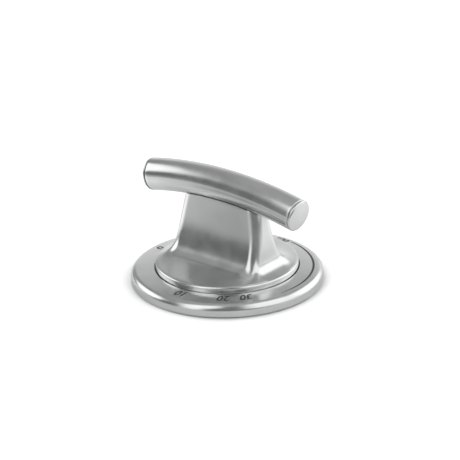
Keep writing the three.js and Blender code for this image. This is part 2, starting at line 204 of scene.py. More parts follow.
def rounded(corners, step=7.5):
    """An outline through corners (r, z) or (r, z, fillet radius), its fillets drawn as arcs."""
    outline = []
    count = len(corners)
    for i, corner in enumerate(corners):
        here = Vector(corner[:2])
        radius = corner[2] if len(corner) > 2 else 0
        if radius == 0:
            outline.append(tuple(here))
            continue
        before = (Vector(corners[i - 1][:2]) - here).normalized()
        after = (Vector(corners[(i + 1) % count][:2]) - here).normalized()
        half = before.angle(after) / 2
        centre = here + (before + after).normalized() * (radius / math.sin(half))
        start = here + before * (radius / math.tan(half)) - centre
        end = here + after * (radius / math.tan(half)) - centre
        turn = start.angle_signed(end)
        steps = max(2, round(abs(math.degrees(turn)) / step))
        for k in range(steps + 1):
            angle = -turn * k / steps
            c, s = math.cos(angle), math.sin(angle)
            outline.append((centre.x + start.x * c - start.y * s, centre.y + start.x * s + start.y * c))
    return outline


def turned(name, outline, around=192):
    """A solid turned around Z from a closed outline of (r, z). It may start and end on the axis."""
    rings = []
    for r, z in outline:
        if r == 0:
            rings.append([(0, 0, z)])
            continue
        turns = [2 * math.pi * k / around for k in range(around)]
        rings.append([(r * math.cos(t), r * math.sin(t), z) for t in turns])
    return piece(name, *skin(rings, closed=outline[0][0] > 0))


def rod(name, radius, low, high, x=0.0, y=0.0, around=48):
    """An upright cylinder between two heights."""
    obj = turned(name, [(0, low), (radius, low), (radius, high), (0, high)], around)
    obj.data.transform(Matrix.Translation(Vector((x, y, 0)) * MM))
    return obj


def combine(obj, tools, operation):
    """Cuts the tools out of a solid, or joins them to it, and removes them."""
    for tool in tools:
        modifier = obj.modifiers.new("combine", "BOOLEAN")
        modifier.operation = operation
        modifier.solver = "MANIFOLD"
        modifier.object = tool
    depsgraph = bpy.context.evaluated_depsgraph_get()
    made = bpy.data.meshes.new_from_object(obj.evaluated_get(depsgraph))
    made.name = obj.data.name
    obj.modifiers.clear()
    obj.data = made
    for tool in tools:
        bpy.data.objects.remove(tool)
    return obj


def without_slivers(obj):
    """The same solid without the tiny faces that cuts leave."""
    bm = bmesh.new()
    bm.from_mesh(obj.data)
    bmesh.ops.remove_doubles(bm, verts=bm.verts, dist=SLIVER * MM)
    bmesh.ops.dissolve_degenerate(bm, dist=SLIVER * MM, edges=bm.edges)
    bm.to_mesh(obj.data)
    bm.free()


def finished(obj, body, material, replaced=(), crease=35):
    """Smooth shading up to the crease angle, the material, and the piece's place in the frame."""
    mesh = obj.data
    mesh.shade_smooth()
    mesh.set_sharp_from_angle(angle=math.radians(crease))
    mesh.materials.clear()
    mesh.materials.append(material)
    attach(obj, body)
    if replaced:
        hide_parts(*replaced)
    return obj


# ---- Materials ------------------------------------------------------------------------------------

class Shader:
    """A small wrapper for building a node tree."""

    def __init__(self, tree):
        self.nodes, self.links = tree.nodes, tree.links

    def add(self, kind, **settings):
        node = self.nodes.new(kind)
        for key, value in settings.items():
            setattr(node, key, value)
        return node

    def feed(self, socket, value):
        if isinstance(value, bpy.types.NodeSocket):
            self.links.new(value, socket)
        else:
            socket.default_value = value

    def math(self, operation, *values):
        node = self.add("ShaderNodeMath", operation=operation)
        for socket, value in zip(node.inputs, values):
            self.feed(socket, value)
        return node.outputs[0]

    def ramp(self, value, low, high, low_value=0.0, high_value=1.0):
        """A smooth step: one value up to low, another from high on."""
        node = self.add("ShaderNodeMapRange", interpolation_type="SMOOTHSTEP")
        for socket, number in zip(node.inputs, (value, low, high, low_value, high_value)):
            self.feed(socket, number)
        return node.outputs[0]

    def blend(self, share, low, high):
        """A value between two, by a share from 0 to 1."""
        node = self.add("ShaderNodeMix", data_type="FLOAT")
        for socket, value in zip(node.inputs, (share, None, low, high)):
            if value is not None:
                self.feed(socket, value)
        return node.outputs[0]

    def colour(self, share, low, high):
        """A colour between two, by a share from 0 to 1."""
        node = self.add("ShaderNodeMix", data_type="RGBA")
        self.feed(node.inputs["Factor"], share)
        for name, value in (("A", low), ("B", high)):
            wanted = (socket for socket in node.inputs if socket.name == name and socket.type == "RGBA")
            next(wanted).default_value = (*value, 1)
        return next(socket for socket in node.outputs if socket.type == "RGBA")

    def place(self, stretch=(1, 1, 1)):
        """Where a point is on its piece, in millimetres, stretched for a grain."""
        node = self.add("ShaderNodeMapping")
        self.feed(node.inputs["Vector"], self.add("ShaderNodeTexCoord").outputs["Object"])
        node.inputs["Scale"].default_value = tuple(k / MM for k in stretch)
        return node.outputs[0]

    def around(self, stretch):
        """The same for a turned piece: distance from the axis and height, and a little of the angle."""
        xyz = self.add("ShaderNodeSeparateXYZ")
        self.feed(xyz.inputs[0], self.place())
        x, y, z = xyz.outputs
        squares = [self.math("MULTIPLY", value, value) for value in (x, y)]
        radius = self.math("SQRT", self.math("ADD", *squares))
        made = self.add("ShaderNodeCombineXYZ")
        for socket, value, scale in zip(made.inputs, (radius, self.math("ARCTAN2", y, x), z), stretch):
            self.feed(socket, self.math("MULTIPLY", value, scale))
        return made.outputs[0]

    def noise(self, vector, scale, detail=2.0):
        node = self.add("ShaderNodeTexNoise")
        self.feed(node.inputs["Vector"], vector)
        node.inputs["Scale"].default_value = scale
        node.inputs["Detail"].default_value = detail
        return node.outputs[0]

    def bump(self, height, strength, depth):
        node = self.add("ShaderNodeBump")
        self.feed(node.inputs["Height"], height)
        node.inputs["Strength"].default_value = strength
        node.inputs["Distance"].default_value = depth * MM
        return node.outputs[0]


def blank(name):
    """A new material, its node builder and its Principled shader."""
    material = bpy.data.materials.new(name)
    material.use_nodes = True
    shader = Shader(material.node_tree)
    return material, shader, shader.nodes["Principled BSDF"]


CLOUD_SCALE = 0.16                   # the large patches of a metal, about 6 mm across
CLOUD_EDGE = (0.3, 0.7)
CLOUD_SHARE = 0.4                    # of the patches in the roughness; the rest is grain
GRAIN_DEPTH = 0.02
PEBBLE_DEPTH = 0.03


def metal(name, dark, light, roughness, grain_scale, grain=(1, 1, 1), turned_grain=False, relief=0.06):
    """Metal between two tones, cloudy in large soft patches, with a fine grain in its gloss and relief."""
    material, shader, surface = blank(name)
    surface.inputs["Metallic"].default_value = 1.0
    cloud = shader.ramp(shader.noise(shader.place(), CLOUD_SCALE), *CLOUD_EDGE)
    vector = shader.around(grain) if turned_grain else shader.place(grain)
    fine = shader.noise(vector, grain_scale, 3.0)
    shader.feed(surface.inputs["Base Color"], shader.colour(cloud, dark, light))
    patches = shader.math("MULTIPLY", cloud, CLOUD_SHARE)
    mixed = shader.math("ADD", patches, shader.math("MULTIPLY", fine, 1 - CLOUD_SHARE))
    shader.feed(surface.inputs["Roughness"], shader.blend(mixed, *roughness))
    shader.feed(surface.inputs["Normal"], shader.bump(fine, relief, GRAIN_DEPTH))
    return material


SATIN_TONES = ((0.66, 0.67, 0.665), (0.71, 0.72, 0.715))
SATIN_GLOSS = (0.17, 0.27)


def satin_cast():
    """Satin plating on the cast pedestal: an even, very fine blasted grain."""
    return metal("satin_cast", *SATIN_TONES, SATIN_GLOSS, 5.0)


def satin_bar():
    """The same plating on the bar, polished along its length."""
    return metal("satin_bar", *SATIN_TONES, SATIN_GLOSS, 5.0, grain=(0.06, 1, 1))


def satin_turned():
    """The same plating on the dial and the caps, over fine turning marks."""
    return metal("satin_turned", *SATIN_TONES, SATIN_GLOSS, 5.0, grain=(1, 0.8, 1), turned_grain=True)


def turned_steel():
    return metal("turned_steel", (0.44, 0.45, 0.46), (0.56, 0.57, 0.58), (0.26, 0.42), 7.0,
                 grain=(1, 0.5, 1), turned_grain=True, relief=0.15)


def plated_steel():
    """Zinc plated screws, dowels and pins."""
    return metal("plated_steel", (0.50, 0.51, 0.53), (0.60, 0.61, 0.62), (0.24, 0.36), 9.0)


def spring_wire():
    return metal("spring_wire", (0.32, 0.33, 0.34), (0.45, 0.46, 0.47), (0.26, 0.4), 11.0, relief=0.12)


def turned_brass():
    return metal("turned_brass", (0.66, 0.47, 0.21), (0.76, 0.58, 0.30), (0.22, 0.38), 7.0,
                 grain=(1, 0.4, 1), turned_grain=True, relief=0.12)


def moulded(name, dark, light, roughness, grain_scale, relief):
    """A moulded plastic or rubber with a fine pebbled skin."""
    material, shader, surface = blank(name)
    pebble = shader.noise(shader.place(), grain_scale, 3.0)
    shader.feed(surface.inputs["Base Color"], shader.colour(pebble, dark, light))
    shader.feed(surface.inputs["Roughness"], shader.blend(pebble, *roughness))
    shader.feed(surface.inputs["Normal"], shader.bump(pebble, relief, PEBBLE_DEPTH))
    return material


def gasket_rubber():
    return moulded("gasket_rubber", (0.010, 0.010, 0.011), (0.030, 0.030, 0.032), (0.6, 0.85), 3.0, 0.5)


def glide_acetal():
    return moulded("glide_acetal", (0.72, 0.71, 0.67), (0.82, 0.81, 0.77), (0.35, 0.5), 1.5, 0.1)


def dial_ink():
    """Pad-printed ink, a little thin in places."""
    return moulded("dial_ink", (0.030, 0.031, 0.034), (0.060, 0.062, 0.066), (0.45, 0.6), 4.0, 0.1)


CAST, BAR, TURNED = satin_cast(), satin_bar(), satin_turned()
STEEL, PLATED, SPRING = turned_steel(), plated_steel(), spring_wire()
BRASS, RUBBER, ACETAL, INK = turned_brass(), gasket_rubber(), glide_acetal(), dial_ink()


def dress_frame():
    """Materials for the CAD pieces that stay as they are."""
    looks = {
        "base_plate": STEEL, "base_gasket": RUBBER, "glide_ring": ACETAL, "snap_ring": SPRING,
        "drive_pin_front": PLATED, "drive_pin_back": PLATED, "spring_seat": STEEL, "hub": BRASS,
        "stem_clip": SPRING,
    }
    for word in SIDES:
        looks[f"handle_screw_{word}"] = PLATED
        looks[f"lock_washer_{word}"] = SPRING
        looks[f"dowel_{word}"] = PLATED
        looks[f"hub_screw_{word}"] = PLATED
    for node, material in looks.items():
        mesh = frame["nodes"][node].data
        mesh.materials.clear()
        mesh.materials.append(material)


# ---- The dial skirt -------------------------------------------------------------------------------

def cone_height(r):
    """Height of the dial's printed face at a radius."""
    edge_r, edge_z = DIAL_TOP_EDGE
    slope = (DIAL_SEAM_Z - edge_z) / (DIAL_BORE_R - edge_r)
    return edge_z + (r - edge_r) * slope


def dial_skirt():
    """The ring with its shoulder and band, hollow underneath, with an eye around the boss."""
    inner_r = BOSS_R + DIAL_EYE_PLAY
    step_r = DIAL_STEP_R - DIAL_WEB
    groove_inner, groove_outer = DIAL_GROOVE_R
    under_z = DIAL_HUB_TOP_Z - DIAL_WEB
    outline = rounded([
        (inner_r, under_z, DIAL_EYE_FILLET), (step_r, under_z),
        (step_r, DIAL_BOTTOM_Z, FINE_FILLET), (groove_inner, DIAL_BOTTOM_Z, FINE_FILLET),
        (groove_inner, DIAL_GROOVE_TOP_Z, DIAL_GROOVE_FILLET),
        (groove_outer, DIAL_GROOVE_TOP_Z, DIAL_GROOVE_FILLET),
        (groove_outer, DIAL_BOTTOM_Z, FINE_FILLET), (DIAL_R, DIAL_BOTTOM_Z, DIAL_RIM_FILLET),
        (DIAL_R, cone_height(DIAL_R), DIAL_SHOULDER_R), (DIAL_BORE_R, DIAL_SEAM_Z, FINE_FILLET),
        (DIAL_BORE_R, DIAL_FLOOR_Z, FINE_FILLET), (DIAL_STEP_R, DIAL_FLOOR_Z),
        (DIAL_STEP_R, DIAL_HUB_TOP_Z, FINE_FILLET), (inner_r, DIAL_HUB_TOP_Z, DIAL_EYE_FILLET),
    ], step=5)
    dial = turned("dial_skirt_smooth", outline, 256)
    holes = [rod("pin_hole", PIN_R + PLAY, *PIN_HOLE_Z, 0, side * PIN_Y) for side in SIDES.values()]
    combine(dial, holes, "DIFFERENCE")
    return finished(dial, "dial", TURNED, ["dial_skirt"])


# ---- Marks on the dial ----------------------------------------------------------------------------

# Each number with the angle and radius of its middle and its height. Tops point outwards.
MARKS = (
    ("0", 183, 29.0, 3.4),
    ("100", 87.2, 29.6, 2.9),
    ("30", -38, 28.5, 3.3),
    ("20", -54, 28.5, 3.3),
    ("10", -86.5, 28.6, 3.2),
)
MARK_LIFT = 0.02                     # of the ink's middle over the dial
MARK_DEPTH = 0.01                    # half the ink's thickness
MARK_SLANT = 0.25
MARK_WEIGHT = 0.022                  # how far the outlines are thickened, in font units
RAMP_R = 30.5                        # the tapered line from one setting to the next
RAMP_ANGLES = (80.5, -13.5)
RAMP_WIDTHS = (0.45, 0.75, 0.12)     # at its start, in its middle and at its end


def on_cone(r, angle, lift):
    """A point over the dial's printed face."""
    return r * math.cos(angle), r * math.sin(angle), cone_height(r) + lift


def mark(index, text, middle, radius, height):
    """A printed number, bent around the dial."""
    curve = bpy.data.curves.new("number", "FONT")
    curve.body = text
    curve.shear = MARK_SLANT
    curve.offset = MARK_WEIGHT
    curve.extrude = 1.0
    source = bpy.data.objects.new("number", curve)
    bpy.context.scene.collection.objects.link(source)
    depsgraph = bpy.context.evaluated_depsgraph_get()
    mesh = bpy.data.meshes.new_from_object(source.evaluated_get(depsgraph))
    bpy.data.objects.remove(source)
    flat = [vertex.co.copy() for vertex in mesh.vertices]
    low_x, high_x = min(p.x for p in flat), max(p.x for p in flat)
    low_y, high_y = min(p.y for p in flat), max(p.y for p in flat)
    scale = height / (high_y - low_y)
    for vertex, p in zip(mesh.vertices, flat):
        across = (p.x - (low_x + high_x) / 2) * scale
        out = (p.y - (low_y + high_y) / 2) * scale
        turn = math.radians(middle) - across / radius
        vertex.co = Vector(on_cone(radius + out, turn, MARK_LIFT + MARK_DEPTH * p.z)) * MM
    obj = bpy.data.objects.new(f"dial_mark_{index}", mesh)
    bpy.context.scene.collection.objects.link(obj)
    return finished(obj, "dial", INK)


def ramp_line():
    """The arc between two settings. Its width follows a parabola through its three widths."""
    start, end = (math.radians(a) for a in RAMP_ANGLES)
    start_width, middle_width, end_width = RAMP_WIDTHS
    low, high = MARK_LIFT - MARK_DEPTH, MARK_LIFT + MARK_DEPTH
    steps = 96
    rings = []
    for k in range(steps + 1):
        share = k / steps
        left = 1 - share
        angle = start + (end - start) * share
        half = (
            start_width * left * (left - share) + end_width * share * (share - left)
            + middle_width * 4 * share * left) / 2
        corners = ((-half, low), (half, low), (half, high), (-half, high))
        rings.append([on_cone(RAMP_R + out, angle, lift) for out, lift in corners])
    ends = [[on_cone(RAMP_R, angle, MARK_LIFT)] for angle in (start, end)]
    line = piece("dial_mark_line", *skin([ends[0], *rings, ends[1]]))
    return finished(line, "dial", INK)


# ---- The pedestal ---------------------------------------------------------------------------------

def flare_section(z):
    """Half length, half width and corner radius of the neck's section at a height."""
    s = min(max((NECK_TOP_Z - z) / (NECK_TOP_Z - FOOT_EDGE_Z), 0), 1)
    flare_length = FOOT_EDGE_R - NECK_HALF_LENGTH - NECK_SPREAD_LENGTH
    flare_width = FOOT_EDGE_R - NECK_HALF_WIDTH - NECK_SPREAD_WIDTH - NECK_WIDENING
    half_length = (
        NECK_HALF_LENGTH + NECK_SPREAD_LENGTH * (1 - (1 - s) ** 2)
        + flare_length * s ** FLARE_POWER_LENGTH)
    half_width = (
        NECK_HALF_WIDTH + NECK_SPREAD_WIDTH * s + NECK_WIDENING * s ** 4
        + flare_width * s ** FLARE_POWER_WIDTH)
    corner = NECK_CORNER_R + (FOOT_EDGE_R - NECK_CORNER_R) * s ** CORNER_POWER
    return half_length, half_width, min(corner, half_width - LEAST_FLAT)


def stations(end=3, corner=36, face=12):
    """Where the points of a section lie, anticlockwise from +X: quadrant signs, part and share of it."""
    made = []
    for sign_x, sign_y in ((1, 1), (-1, 1), (-1, -1), (1, -1)):
        forward = sign_x == sign_y
        parts = [("end", end), ("corner", corner), ("face", face)]
        for part, count in parts if forward else reversed(parts):
            for k in range(count):
                made.append((sign_x, sign_y, part, k / count if forward else 1 - k / count))
    return made


def section_point(station, z, inset=0.0, lift=0.0):
    """A point of the flare. The inside surface is inset and moved down."""
    sign_x, sign_y, part, share = station
    half_length, half_width, corner = (size - inset for size in flare_section(z))
    flat_x, flat_y = half_length - corner, half_width - corner
    if part == "end":
        x, y = half_length, flat_y * share
    elif part == "face":
        x, y = flat_x * (1 - share), half_width
    else:
        turn = share * math.pi / 2
        x, y = flat_x + corner * math.cos(turn), flat_y + corner * math.sin(turn)
    return sign_x * x, sign_y * y, z - lift


def saddle_height(x, y):
    """Height of the saddle that the bar lies in, or of its lip beyond the bar's sides."""
    tube_r = BAR_R + SADDLE_GAP
    inside = max(tube_r ** 2 - y ** 2, 0)
    return BAR_Z - BAR_ARC_R + math.sqrt((BAR_ARC_R - math.sqrt(inside)) ** 2 - x ** 2)


def on_saddle(x, y):
    """A point of the saddle."""
    return x, y, saddle_height(x, y)


def pedestal_outside():
    """The saddle from its middle to its lip, the flare down to the foot, and the foot's rim."""
    rows, crowding, settling = 120, 2.2, 6
    low = FOOT_EDGE_Z + FOOT_EDGE_REACH
    around = stations()
    tops = []
    for station in around:
        z = NECK_TOP_Z
        for _ in range(settling):
            x, y, _ = section_point(station, z)
            z = saddle_height(x, y)
        tops.append(z)
    outer = [section_point(station, top) for station, top in zip(around, tops)]
    rings = [[on_saddle(0, 0)]]
    for share in (0.25, 0.5, 0.75, 0.9):
        rings.append([on_saddle(x * share, y * share) for x, y, _ in outer])
    lip = []
    for x, y, _ in outer:
        inward = Vector((x, y, 0)).normalized() * SADDLE_FILLET
        lip.append(on_saddle(x - inward.x, y - inward.y))
    rings.append(lip)
    for row in range(rows + 1):
        left = (1 - row / rows) ** crowding
        rings.append([
            section_point(station, low + (top - SADDLE_FILLET - low) * left)
            for station, top in zip(around, tops)])
    turns = [math.atan2(y, x) for x, y, _ in rings[-1]]
    run, rise = FOOT_EDGE_SLOPE
    rim = rounded([
        (FOOT_EDGE_R - run, FOOT_EDGE_Z + rise), (FOOT_R, FOOT_EDGE_Z - FOOT_EDGE_DROP, FOOT_EDGE_FILLET),
        (FOOT_R, FOOT_BOTTOM_Z, FOOT_BOTTOM_FILLET), (0, FOOT_BOTTOM_Z),
    ], step=10)[1:-1]
    for r, z in rim:
        rings.append([(r * math.cos(t), r * math.sin(t), z) for t in turns])
    rings.append([(0, 0, FOOT_BOTTOM_Z)])
    return piece("pedestal_smooth", *skin(rings))


def pedestal_cavity():
    """The hollow inside the flare, which follows it at the wall's thickness and is open below."""
    inner_r = FOOT_R - FOOT_WALL
    rows, crowding = 48, 2.2
    around = stations(end=2, corner=16, face=8)
    rings = [[(0, 0, CAVITY_ROOF_Z)]]
    for row in range(rows + 1):
        left = (1 - row / rows) ** crowding
        z = FOOT_EDGE_Z + (CAVITY_ROOF_Z + CAVITY_LIFT - FOOT_EDGE_Z) * left
        rings.append([section_point(station, z, FOOT_WALL, CAVITY_LIFT) for station in around])
    turns = [math.atan2(y, x) for x, y, _ in rings[-1]]
    mouth_z = FOOT_BOTTOM_Z - 1
    rings.append([(inner_r * math.cos(t), inner_r * math.sin(t), mouth_z) for t in turns])
    rings.append([(0, 0, mouth_z)])
    return piece("cavity", *skin(rings))


def pedestal():
    """The flare with its cavity, the land, lugs and bosses inside, and the bores."""
    body = pedestal_outside()
    combine(body, [pedestal_cavity()], "DIFFERENCE")
    pad_low = SPRING_SEAT_Z[1] + PAD_GAP
    pad_high = pad_low + PAD_HEIGHT
    inner_r, outer_r = PAD_R
    land = [(inner_r, pad_low), (outer_r, pad_low), (outer_r, pad_high), (inner_r, pad_high)]
    posts = [turned("pad", land)]
    cuts = []
    boss_z = FLANGE_TOP_Z + END_PLAY, CAVITY_ROOF_Z + 1
    handle_bore_z = HANDLE_SCREW_BORE_LOW_Z, ABOVE_SADDLE_Z
    dowel_z = DOWEL_Z[0] - END_PLAY, ABOVE_SADDLE_Z
    pin_top = PIN_TOP_Z + PUSH_TRAVEL + PIN_END_PLAY
    for side in SIDES.values():
        posts.append(rod("lug", LUG_R, FOOT_BOTTOM_Z + END_PLAY, LUG_TOP_Z, 0, side * PIN_Y))
        posts.append(rod("boss", HUB_BOSS_R, *boss_z, side * HUB_SCREW_X))
        cuts.append(rod("pin_bore", PIN_R + PLAY, 0, pin_top, 0, side * PIN_Y))
        cuts.append(rod("hub_screw_bore", HUB_SCREW_R + PLAY, *HUB_SCREW_BORE_Z, side * HUB_SCREW_X))
        cuts.append(rod("handle_screw_bore", HANDLE_SCREW_R + PLAY, *handle_bore_z, side * HANDLE_SCREW_X))
        cuts.append(rod("dowel_bore", DOWEL_R + PLAY, *dowel_z, side * DOWEL_X))
    combine(body, posts, "UNION")
    combine(body, cuts, "DIFFERENCE")
    without_slivers(body)
    return finished(body, "knob", CAST, ["pedestal"])


# ---- The handle bar and its end caps --------------------------------------------------------------

def bar_ring(distance, radius, around=144):
    """A ring around the bar's arc, at a distance along it from the middle."""
    angle = distance / BAR_ARC_R
    centre = Vector((BAR_ARC_R * math.sin(angle), 0, BAR_Z - BAR_ARC_R * (1 - math.cos(angle))))
    up = Vector((math.sin(angle), 0, math.cos(angle)))
    if radius == 0:
        return [tuple(centre)]
    turns = [2 * math.pi * k / around for k in range(around)]
    return [tuple(centre + (up * math.cos(t) + Vector((0, 1, 0)) * math.sin(t)) * radius) for t in turns]


def handle_bar():
    """The bar as rings along its arc, each a distance from the middle and a radius."""
    end = BAR_LENGTH / 2 - CAP_LENGTH
    edge = BAR_END_FILLET
    socket_r = SPIGOT_R + PLAY
    bottom = end - SPIGOT_LENGTH - SOCKET_END_PLAY
    fillet_steps, steps = 5, 72
    rounding = [math.pi / 2 * k / fillet_steps for k in range(fillet_steps + 1)]
    half = [(bottom, 0), (bottom, socket_r), (end, socket_r)]
    half += [(end - edge + edge * math.cos(a), BAR_R - edge + edge * math.sin(a)) for a in rounding]
    along = [((end - edge) * (1 - 2 * k / steps), BAR_R) for k in range(1, steps)]
    profile = half + along + [(-distance, radius) for distance, radius in reversed(half)]
    body = piece("handle_bar_smooth", *skin([bar_ring(distance, radius) for distance, radius in profile]))
    cuts = []
    screw_z = BELOW_BAR_Z, HANDLE_SCREW_TOP_Z + HANDLE_SCREW_END_PLAY
    dowel_z = BELOW_BAR_Z, DOWEL_Z[1] + END_PLAY
    for side in SIDES.values():
        cuts.append(rod("screw_bore", HANDLE_SCREW_R + PLAY, *screw_z, side * HANDLE_SCREW_X))
        cuts.append(rod("dowel_bore", DOWEL_R + PLAY, *dowel_z, side * DOWEL_X))
    combine(body, cuts, "DIFFERENCE")
    return finished(body, "knob", BAR, ["handle_bar"])


def end_cap(word, side):
    """A cap with a slightly crowned face and a spigot in the bar, square to the bar's arc at its end."""
    face_z = CAP_LENGTH - CAP_TRIM
    face_r = BAR_R - CAP_EDGE_R
    crown_r = face_r ** 2 / (2 * CAP_CROWN)
    steps = 6
    face = [face_r * (1 - k / steps) for k in range(1, steps)]
    outline = rounded([
        (0, -SPIGOT_LENGTH), (SPIGOT_R, -SPIGOT_LENGTH, SPIGOT_FILLET), (SPIGOT_R, CAP_GROOVE),
        (BAR_R, CAP_GROOVE, CAP_BACK_FILLET), (BAR_R, face_z - CAP_CROWN, CAP_EDGE_R),
        *[(r, face_z - r * r / (2 * crown_r)) for r in face],
        (0, face_z),
    ], step=6)
    cap = turned(f"end_cap_{word}_smooth", outline, 144)
    distance = BAR_LENGTH / 2 - CAP_LENGTH
    slope = distance / BAR_ARC_R
    end = Vector(bar_ring(side * distance, 0)[0])
    turn = Matrix.Rotation(side * (math.pi / 2 + slope), 4, "Y")
    cap.data.transform(Matrix.Translation(end * MM) @ turn)
    return finished(cap, "knob", BAR, [f"end_cap_{word}"])


# ---- The return spring ----------------------------------------------------------------------------

def return_spring():
    """A conical coil on the dial, drawn at its rest length; nothing here shortens it as the knob is pushed
    in.
    """
    low = DIAL_HUB_TOP_Z + SPRING_GAP + SPRING_WIRE_R
    high = SPRING_SEAT_Z[0] - SPRING_GAP - SPRING_WIRE_R
    up = Vector((0, 0, 1))
    steps, around = 180, 16
    rings = []
    for k in range(steps + 1):
        share = k / steps
        turn = share * SPRING_TURNS * 2 * math.pi
        radius = SPRING_R[0] + (SPRING_R[1] - SPRING_R[0]) * share
        out = Vector((math.cos(turn), math.sin(turn), 0))
        centre = out * radius + up * (low + (high - low) * share)
        turns = [2 * math.pi * j / around for j in range(around)]
        rings.append([tuple(centre + (out * math.cos(a) + up * math.sin(a)) * SPRING_WIRE_R) for a in turns])
    ends = [[tuple(sum((Vector(p) for p in ring), Vector()) / around)] for ring in (rings[0], rings[-1])]
    spring = piece("return_spring_coil", *skin([ends[0], *rings, ends[1]]))
    finished(spring, "dial", SPRING, ["return_spring"], crease=50)
    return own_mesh(spring)


# ---- Stage ----------------------------------------------------------------------------------------

CAMERA_AZIMUTH = math.radians(39.0)
CAMERA_ELEVATION = math.radians(23.5)
CAMERA_ROLL = math.radians(1.35)
CAMERA_DISTANCE = 2500.0
CAMERA_LENS = 556.0
AIM_Z = 18.0
AIM_RIGHT = 1.284
AIM_UP = 0.95
CLIP_END = 10000.0


def camera():
    """A long lens, turned a little about its own axis."""
    a, e, roll = CAMERA_AZIMUTH, CAMERA_ELEVATION, CAMERA_ROLL
    back = Vector((math.sin(a) * math.cos(e), -math.cos(a) * math.cos(e), math.sin(e)))
    right = Vector((math.cos(a), math.sin(a), 0))
    up = back.cross(right)
    right, up = right * math.cos(roll) - up * math.sin(roll), up * math.cos(roll) + right * math.sin(roll)
    aim = Vector((0, 0, AIM_Z)) + right * AIM_RIGHT + up * AIM_UP
    place = Matrix((right, up, back)).transposed().to_4x4()
    place.translation = (aim + back * CAMERA_DISTANCE) * MM
    data = bpy.data.cameras.new("camera")
    data.lens = CAMERA_LENS
    data.clip_end = CLIP_END * MM
    obj = bpy.data.objects.new("camera", data)
    obj.matrix_world = place
    bpy.context.scene.collection.objects.link(obj)
    bpy.context.scene.camera = obj


# What the metal sees around it, painted one over the other: azimuth from the camera (right is positive)
# and elevation of the middle, half sizes, all in degrees; squareness of the outline (2 is an ellipse);
# softness of its edge as a share of the size; brightness.
ROOM_LIGHT = (0.95, 0.43)            # at the horizon and above ROOM_LIGHT_TOP
ROOM_LIGHT_TOP = 42.0
SOFT_BOXES = {
    "dark_left": (-113, 25, 52, 34, 3, 0.15, 0.33),
    "dark_card": (-75, 5, 16, 27, 2.5, 0.25, 0.16),
    "dark_front": (-2, 28, 30, 48, 2.5, 0.3, 0.2),
    "dark_low": (30, 0, 36, 13, 2.5, 0.4, 0.25),
    "front_left": (-42, 55, 32, 55, 1.0, 0.12, 1.35),
    "fill_right": (66, 34, 44, 26, 2.5, 0.25, 1.25),
    "top_right": (72, 60, 42, 16, 2, 0.2, 1.3),
    "key_right": (120, 22, 31, 28, 2, 0.12, 1.5),
    "key_left": (-115, 24, 27, 18, 2, 0.1, 1.6),
}
PAPER_SIZE = 3000.0
PAPER_WHITE = 1.45                   # what the camera sees, over-exposed to pure white in the open
PAPER_LIFT = 0.05
PAINTED_SHADOW_REACH = 6.0                  # reach of the painted shadow on the paper close to the object
PAINTED_SHADOW_OPEN = (0.45, 1.0)           # how open to the sky it is at the object's edge, and in the open
PAINTED_SHADOW_DEPTH = (0.45, 0.12)         # share of light lost at that edge, on the right and elsewhere
PAINTED_SHADOW_SIDE = (60, 60, 108)         # azimuth of the side where the painted shadow is deepest, and where it starts to fade and ends
FLOOR_GREY = 0.88                    # what the metal sees near the object, far from it, and between
FLOOR_GREY_FAR = 0.17
FLOOR_FADE = (110.0, 310.0)
KNOB_SHADOW = (-60, 45, 0.55)        # painted on the floor in front: azimuth, half width, share of light lost
KNOB_SHADOW_START = (42.0, 65.0)     # distances from the middle
KNOB_SHADOW_END = (110.0, 170.0)
# Painted light patches, glowing on the floor, that only the metal sees: azimuth and half width in degrees,
# brightness.
PAINTED_LIGHT_PATCHES = {
    "left": (-108, 30, 0.75), "front_left": (-47, 20, 0.28), "front_right": (65, 30, 0.2),
    "right": (113, 30, 0.5), "back": (180, 24, 0.6),
}
PATCH_START = (30.0, 95.0)
PATCH_EDGE = (0.3, 1.3)              # where a patch starts to fade and ends, in half widths


def azimuth_of(shader, vector):
    """Azimuth and height of a direction or place, with the camera's side at zero."""
    turn = shader.add("ShaderNodeVectorRotate", rotation_type="Z_AXIS")
    shader.feed(turn.inputs["Vector"], vector)
    turn.inputs["Angle"].default_value = -CAMERA_AZIMUTH
    xyz = shader.add("ShaderNodeSeparateXYZ")
    shader.feed(xyz.inputs[0], turn.outputs[0])
    x, y, height = xyz.outputs
    return shader.math("ARCTAN2", x, shader.math("MULTIPLY", y, -1.0)), height


def off_azimuth(shader, azimuth, degrees, half_width):
    """How far an azimuth is from a given one, as a share of a half width."""
    across = shader.math("WRAP", shader.math("SUBTRACT", azimuth, math.radians(degrees)), math.pi, -math.pi)
    return shader.math("DIVIDE", shader.math("ABSOLUTE", across), math.radians(half_width))


